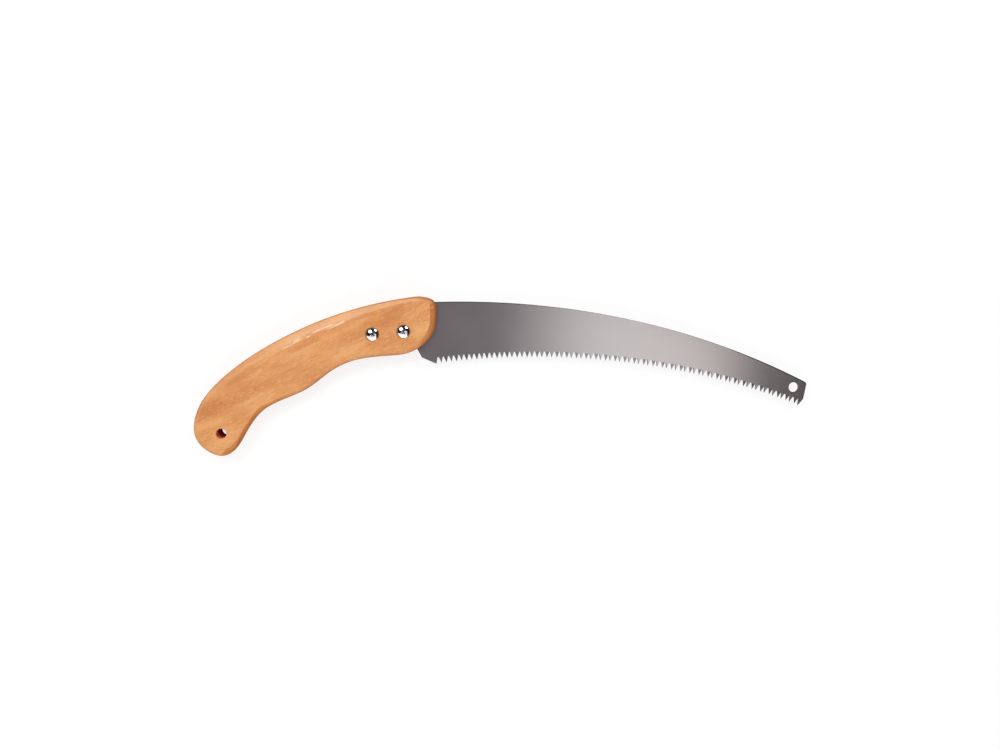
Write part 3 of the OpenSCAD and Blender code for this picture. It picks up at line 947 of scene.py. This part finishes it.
# Where noise breaks the painted highlight streak, how strong it is, and how rough the coat and, by noise,
# the wood are
STREAK_GAPS, STREAK_MOST = (0.47, 0.57), 0.62
COAT_ROUGHNESS, WOOD_ROUGHNESS = 0.10, (0.3, 0.7, 0.42, 0.55)
# How strong each bump is, and its height in metres
WOOD_BUMP, BARE_WOOD_BUMP = (0.25, 0.0006), (0.4, 0.0002)
STEEL_BUMP, CHROME_BUMP = (0.03, 0.00005), (0.1, 0.00004)
FIBRE_RELIEF = 0.10


def wood_figure(n, grain, noise):
    """Colour of the wood's own figure, and the noise of its fibres."""
    bands, clouds, mottle = noise("bands"), noise("clouds"), noise("mottle")
    fibres, dashes, flecks = noise("fibres"), noise("dashes"), noise("flecks")
    # growth rings round an axis below the handle, as seen where the board is sawn flat
    _, across, height = n.split(grain)
    depth = n.math("ADD", height, RING_DEPTH)
    away = n.math("SQRT", n.math("ADD", n.math("POWER", across, 2), n.math("POWER", depth, 2)))
    away = n.math("MULTIPLY_ADD", bands, RING_WAVER, n.product(away, RINGS))
    ring = n.math("PINGPONG", away, 1.0)
    tone = n.product(ring, RING_SHARE)
    for level, stretch in ((bands, BANDS_STRETCH), (clouds, CLOUDS_STRETCH), (mottle, MOTTLE_STRETCH)):
        tone = n.math("MULTIPLY_ADD", n.ranged(level, *stretch), NOISE_SHARE, tone)
    colour = n.mix(n.ranged(tone, *TONE_STRETCH), WOOD_PALE, WOOD_DEEP)
    # patches with a ragged rim
    east, north = GRAIN_WAY
    ragged = n.math("MULTIPLY_ADD", noise("ragged"), PATCH_WAVER, -PATCH_WAVER / 2)
    for patches, patch_colour in ((DARK_PATCHES, DARK_PATCH), (PALE_PATCHES, PALE_PATCH)):
        for (x, y), (long, wide), strength in patches:
            centre = (MM * (x * east + y * north), MM * (y * east - x * north), 0)
            apart = n.vector("MULTIPLY", n.vector("SUBTRACT", grain, centre),
                             (1 / (long * MM), 1 / (wide * MM), 0))
            reach = n.math("ADD", n.vector("LENGTH", apart), ragged)
            colour = n.mix(n.ranged(reach, *PATCH_RIM, 0, strength), colour, patch_colour)
    for level, marks, mark_colour in ((fibres, FIBRE_MARKS, FIBRE), (dashes, DARK_MARKS, DARK_DASH),
                                      (dashes, PALE_MARKS, PALE_DASH)):
        colour = n.mix(n.ranged(level, *marks), colour, mark_colour)
    grouped = n.product(n.ranged(flecks, *FLECK_MARKS), n.ranged(clouds, *FLECK_GROUPS))
    return n.mix(grouped, colour, FLECK), fibres


def wood_material():
    n, place = new_material("lacquered_wood")
    grain = n.turned(place, GRAIN_TURN)

    def noise(name):
        scales, *settings = WOOD_NOISES[name]
        return n.noise(n.stretched(grain, scales), 1.0, *settings)

    colour, fibres = wood_figure(n, grain, noise)
    # which way the surface looks: up, towards the back of the handle, and along the fibres
    normal = n.normal()
    to_side, to_back, up = n.split(normal)
    flat = n.math("ABSOLUTE", up)
    along = n.split(place)[0]
    # painted sheen: the rounding of the back is painted paler where it looks towards the back
    painted_sheen = n.product(n.ranged(flat, *SHEEN_FLAT), n.ranged(flat, *SHEEN_STEEP),
                       n.ranged(to_back, *SHEEN_BACK), n.ranged(along, *SHEEN_ALONG))
    colour = n.mix(painted_sheen, colour, PAINTED_SHEEN)
    # the steep sides are painted darker, as painted shade
    steep = n.ranged(flat, *SIDES_STEEP)
    colour = n.mix(steep, colour, STEEP_SHADE, "MULTIPLY")
    # the front end, where it looks along the grain, is painted darker still: the end grain soaks up most
    # stain, and the rest is painted shade
    end_grain_shade = n.ranged(n.vector("DOT_PRODUCT", normal, (*GRAIN_WAY, 0)), *GRAIN_END)
    end_grain_shade = n.product(end_grain_shade, n.ranged(along, *GRAIN_ALONG))
    colour = n.mix(end_grain_shade, colour, END_GRAIN_SHADE, "MULTIPLY")
    # painted shade on the inner side of the butt, where it looks towards +X, short of the steep sides
    inner_side_shade = n.product(n.ranged(flat, *SIDE_FLAT), n.ranged(to_side, *SIDE_INNER),
                           n.ranged(along, *SIDE_ALONG))
    inner_side_shade = n.product(inner_side_shade, n.math("SUBTRACT", 1.0, steep))
    colour = n.mix(inner_side_shade, colour, INNER_SIDE_SHADE, "MULTIPLY")
    # what is left of the gloss: weak all over, and a broken streak where the rounding of the back begins,
    # which is also a painted highlight, mixed pale into the colour
    ridge = n.product(n.ranged(flat, *STREAK_FLAT), n.ranged(flat, *STREAK_STEEP),
                      n.ranged(to_back, *STREAK_BACK))
    streak_gaps = noise("streak_gaps")
    painted_streak = n.product(ridge, n.ranged(streak_gaps, *STREAK_GAPS), n.ranged(along, *STREAK_ALONG),
                       n.ranged(along, *STREAK_STOP), STREAK_MOST)
    colour = n.mix(painted_streak, colour, PAINTED_HIGHLIGHT)
    coated = n.product(n.ranged(along, *COAT_ALONG), n.math("SUBTRACT", 1.0, steep))
    coated = n.math("MAXIMUM", coated, painted_streak)
    gloss = n.ranged(noise("gloss"), *WOOD_ROUGHNESS)
    relief = n.math("MULTIPLY_ADD", fibres, FIBRE_RELIEF, noise("wave"))
    bump = n.bump(relief, *WOOD_BUMP)
    return n.surface(colour, gloss, bump, {
        "Coat Weight": coated, "Coat Roughness": COAT_ROUGHNESS, "Coat Normal": bump, "IOR": 1.5,
        "Specular IOR Level": 0.0})


def bare_wood_material():
    """Dark, bare wood, as the wall of the hang hole shows it."""
    n, place = new_material("bare_wood")
    scorched = n.noise(n.stretched(place, SCORCHED_SCALES), detail=3)
    colour = n.mix(n.ranged(scorched, 0.35, 0.65), SCORCHED_PALE, SCORCHED_DEEP)
    return n.surface(colour, 0.9, n.bump(scorched, *BARE_WOOD_BUMP), {"Specular IOR Level": 0.0})


STEEL, STEEL_WARM = (0.60, 0.575, 0.575, 1), (0.63, 0.595, 0.585, 1)
# The colour of the grinding lines, and the painted dark reflection on the edges
STEEL_LINE, STEEL_EDGE_SHADE = (0.48, 0.46, 0.46, 1), (0.07, 0.062, 0.062, 1)
# Painted shade towards the tip of the blade
STEEL_TIP_SHADE = (0.86, 0.85, 0.85, 1)
STEEL_METALLIC = 0.87
CHROME, CHROME_SPOT = (0.82, 0.80, 0.80, 1), (0.74, 0.72, 0.72, 1)
# The grinding: its turn, and how finely its lines repeat along and across it
GRINDING_TURN = -8.0
GRINDING_SCALES = (14, 2600, 2600)
STEEL_CLOUDS, CHROME_SPOTS, CHROME_WAVES = 22, 900, 420
STEEL_LINES, LINE_ROUGHNESS = (0.5, 0.75, 0, 0.12), 0.05
STEEL_ROUGHNESS, CHROME_ROUGHNESS = (0.3, 0.7, 0.14, 0.17), (0.35, 0.7, 0.05, 0.13)
# Painted shade: the blade darkens over this stretch of X; and a painted dark reflection where it looks less
# up or down than this
STEEL_TIP_ALONG = (0.425, 0.490)
STEEL_EDGE_FACING, STEEL_EDGE_MOST = (0.9965, 0.982), 0.90


def steel_material():
    n, place = new_material("polished_steel")
    lines = n.noise(n.stretched(n.turned(place, GRINDING_TURN), GRINDING_SCALES), detail=3, roughness=0.6)
    clouds = n.noise(place, scale=STEEL_CLOUDS, detail=3)
    colour = n.mix(n.ranged(clouds, 0.35, 0.65), STEEL, STEEL_WARM)
    colour = n.mix(n.ranged(lines, *STEEL_LINES), colour, STEEL_LINE)
    # the steel is painted a little darker towards the tip, as painted shade
    tip = n.ranged(n.split(place)[0], *STEEL_TIP_ALONG)
    colour = n.mix(tip, colour, STEEL_TIP_SHADE, "MULTIPLY")
    # faces at an angle to the plate, the sheared, ground and filed edges, are painted dark, as a painted
    # reflection of dark surroundings
    facing = n.split(n.normal())[2]
    edge = n.ranged(n.math("ABSOLUTE", facing), *STEEL_EDGE_FACING)
    colour = n.mix(n.product(edge, STEEL_EDGE_MOST), colour, STEEL_EDGE_SHADE)
    rough = n.math("MULTIPLY_ADD", lines, LINE_ROUGHNESS, n.ranged(clouds, *STEEL_ROUGHNESS))
    return n.surface(colour, rough, n.bump(lines, *STEEL_BUMP), {"Metallic": STEEL_METALLIC})


def chrome_material():
    n, place = new_material("chrome_plate")
    spots = n.noise(place, scale=CHROME_SPOTS, detail=3)
    rough = n.ranged(spots, *CHROME_ROUGHNESS)
    colour = n.mix(n.ranged(spots, 0.4, 0.7), CHROME, CHROME_SPOT)
    bump = n.bump(n.noise(place, scale=CHROME_WAVES, detail=2), *CHROME_BUMP)
    return n.surface(colour, rough, bump, {"Metallic": 1.0})


# The saw

wood, steel, chrome = [wood_material(), bare_wood_material()], [steel_material()], [chrome_material()]

for piece, node, slot, materials in (
        (build_handle(), "handle", "wood", wood),
        (build_blade(), "blade", "blade_steel", steel),
        (build_screw("front_screw_head", FRONT_PLACE, FRONT_TURN), "front_screw", "screw_chrome", chrome),
        (build_screw("rear_screw_head", REAR_PLACE, REAR_TURN), "rear_screw", "screw_chrome", chrome),
        (build_nut("front_sleeve_nut", FRONT_PLACE), "front_nut", "screw_chrome", chrome),
        (build_nut("rear_sleeve_nut", REAR_PLACE), "rear_nut", "screw_chrome", chrome)):
    mesh = piece.data
    indices = [0] * len(mesh.polygons)
    mesh.polygons.foreach_get("material_index", indices)
    mesh.materials.clear()
    for material in materials:
        mesh.materials.append(material)
    mesh.polygons.foreach_set("material_index", indices)
    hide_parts(node)


# Floor, light and camera

WHITE = (1, 1, 1, 1)
# The floor: its corners in millimetres, its own glow, how much light it scatters where it is seen and for
# the light on the saw, and the distances over which it turns to plain white.
FLOOR_CORNERS = [(-6000, -6000, 0), (6500, -6000, 0), (6500, 6000, 0), (-6000, 6000, 0)]
FLOOR_GLOW = 0.77
FLOOR_MATT = 0.26
FLOOR_PLAIN = 0.8
FLOOR_MIDDLE = (0.24, 0.04, 0.0)
FLOOR_WHITENS = (0.5, 1.1)
# Lamps: name, place, what it aims at, width, height and watts
LAMPS = [("window_left", (-0.40, 0.61, 1.15), (0.1, 0.07, 0.0), 0.6, 0.6, 7.0),
         ("window_right", (0.74, 0.95, 0.95), (0.13, 0.08, 0.0), 0.5, 0.5, 5.0),
         ("front_fill", (0.25, -1.15, 0.9), (0.22, 0.05, 0.0), 1.4, 0.6, 7.0)]

CAMERA_PLACE = (0.17935, 0.11288, 0.64979)
# The camera's axes to its right, up and back
CAMERA_AXES = ((0.98998, 0, 0.14123), (0.01407, 0.99503, -0.09859), (-0.14053, 0.09959, 0.98506))
SENSOR_WIDTH = 36.0
# Focal length in widths of the picture
FOCAL_WIDTHS = 0.76318
CAMERA_SHIFT = (-0.0562, -0.0075)
CAMERA_CLIP = (0.01, 50)

# The card over the blade: its height, and its corners
BLADE_CARD_Z = 1.3
BLADE_CARD = ((0.05, -0.45), (1.5, 0.30))
# How its glow rises and falls along it and fades past the blade's back: from where, to where, from how much
# and to how much.
GLOW_RISE = (0.295, 0.585, 0.11, 0.97)
GLOW_FALL = (0.83, 1.045, 1.0, 0.02)
GLOW_PAST = (0.06, 0.12, 1.0, 0.14)
# Its colour over the heel, and from where to where that turns into each of the next
HEEL_TINT = (1, 0.78, 0.93, 1)
NEXT_TINTS = [(0.27, 0.42, (0.99, 0.985, 1, 1)), (0.50, 0.66, (1, 0.955, 0.94, 1)),
              (0.86, 1.09, (1, 0.74, 0.76, 1))]
# The card in front of the saw
FRONT_CARD_Z = 0.9
FRONT_CARD = ((-1.3, -1.9), (0.75, -0.30))
FRONT_CARD_TINT = (1.0, 0.975, 0.98, 1)
FRONT_CARD_GLOW = 1.25


def shown_rays(n):
    """1 for the rays that show a surface as it looks, and 0 for those that only carry its light."""
    path = n.add("ShaderNodeLightPath")
    mirrored = n.math("MAXIMUM", path.outputs["Is Glossy Ray"], path.outputs["Is Transmission Ray"])
    return n.math("MAXIMUM", path.outputs["Is Camera Ray"], mirrored)


def floor_material():
    n, place = new_material("pale_floor")
    far = n.ranged(n.vector("DISTANCE", place, FLOOR_MIDDLE), *FLOOR_WHITENS)
    near = n.add("ShaderNodeAddShader", {0: n.glow(WHITE, FLOOR_GLOW), 1: n.matt(FLOOR_MATT)}).outputs[0]
    seen = n.blend(far, near, n.glow(WHITE, 1.0))
    return n.finish(n.blend(shown_rays(n), n.matt(FLOOR_PLAIN), seen))


floor = new_object("floor", FLOOR_CORNERS, [(0, 1, 2, 3)], None)
floor.data.materials.append(floor_material())


for name, place, aim, width, height, watts in LAMPS:
    light = bpy.data.lights.new(name, "AREA")
    light.shape = "RECTANGLE"
    light.size, light.size_y = width, height
    light.energy = watts
    lamp = add_object(name, light)
    lamp.location = place
    lamp.rotation_mode = "QUATERNION"
    lamp.rotation_quaternion = (Vector(aim) - Vector(place)).to_track_quat("-Z", "Y")
    lamp.visible_camera = False


def card(name, corners, height, glow):
    """A flat glowing card above the saw. Only what shines shows it. glow gives its colour and strength."""
    n, place = new_material(name)
    n.finish(n.glow(*glow(n, place)))
    z = height / MM
    (x0, y0), (x1, y1) = corners
    made = new_object(name, [(x / MM, y / MM, z) for x, y in ((x0, y0), (x1, y0), (x1, y1), (x0, y1))],
                      [(0, 3, 2, 1)], None)
    made.data.materials.append(n.owner)
    made.visible_camera = made.visible_diffuse = made.visible_shadow = False


def blade_glow(n, place):
    """Dim over the heel, bright over the blade's outer half, dim past its tip, and dark past its back, so
    that the teeth that lean towards the camera mirror the dark."""
    x = n.split(place)[0]
    rise, fall = n.ranged(x, *GLOW_RISE), n.ranged(x, *GLOW_FALL)
    # the blade's back as the card sees it in the mirror of the blade
    grown = 1 + (BLADE_CARD_Z - BLADE_Z * MM) / (CAMERA_PLACE[2] - BLADE_Z * MM)
    centre = [grown * MM * c - (grown - 1) * eye for c, eye in zip(SPINE_CENTRE, CAMERA_PLACE)]
    away = n.vector("DISTANCE", place, (centre[0], centre[1], BLADE_CARD_Z))
    back = grown * SPINE_RADIUS * MM
    start, stop, full, least = GLOW_PAST
    past = n.ranged(away, back + start, back + stop, full, least)
    tint = HEEL_TINT
    for start, stop, colour in NEXT_TINTS:
        tint = n.mix(n.ranged(x, start, stop), tint, colour)
    return tint, n.product(rise, fall, past)


card("blade_card", BLADE_CARD, BLADE_CARD_Z, blade_glow)
card("front_card", FRONT_CARD, FRONT_CARD_Z, lambda n, place: (FRONT_CARD_TINT, FRONT_CARD_GLOW))


# How the white wall and the light of the sky fade upwards: from where, to where, from how much, to how much
WALL_FADE = (0.28, 0.45, 1.0, 0.02)
SKY_FADE = (0.15, 0.95, 0.80, 0.25)
SKY_COLOUR = (0.98, 0.98, 1.0, 1)


def surroundings():
    """A white backdrop, which mirrors as a white wall under a dark ceiling, and a plain sky for light."""
    n = Nodes(bpy.data.worlds.new("studio"), "ShaderNodeOutputWorld")
    up = n.split(n.place("Generated"))[2]
    camera_ray = n.add("ShaderNodeLightPath").outputs["Is Camera Ray"]
    wall = n.math("MAXIMUM", camera_ray, n.ranged(up, *WALL_FADE))
    backdrop = n.add("ShaderNodeBackground", {"Color": WHITE, "Strength": wall}).outputs[0]
    daylight = n.ranged(up, *SKY_FADE)
    sky = n.add("ShaderNodeBackground", {"Color": SKY_COLOUR, "Strength": daylight}).outputs[0]
    return n.finish(n.blend(shown_rays(n), sky, backdrop))


bpy.context.scene.world = surroundings()

camera_data = bpy.data.cameras.new("camera")
camera_data.sensor_width = SENSOR_WIDTH
camera_data.lens = SENSOR_WIDTH * FOCAL_WIDTHS
camera_data.shift_x, camera_data.shift_y = CAMERA_SHIFT
camera_data.clip_start, camera_data.clip_end = CAMERA_CLIP
camera = add_object("camera", camera_data)
camera.matrix_world = Matrix.Translation(CAMERA_PLACE) @ Matrix(CAMERA_AXES).transposed().to_4x4()
bpy.context.scene.camera = camera
bpy.context.scene.view_settings.view_transform = "Standard"
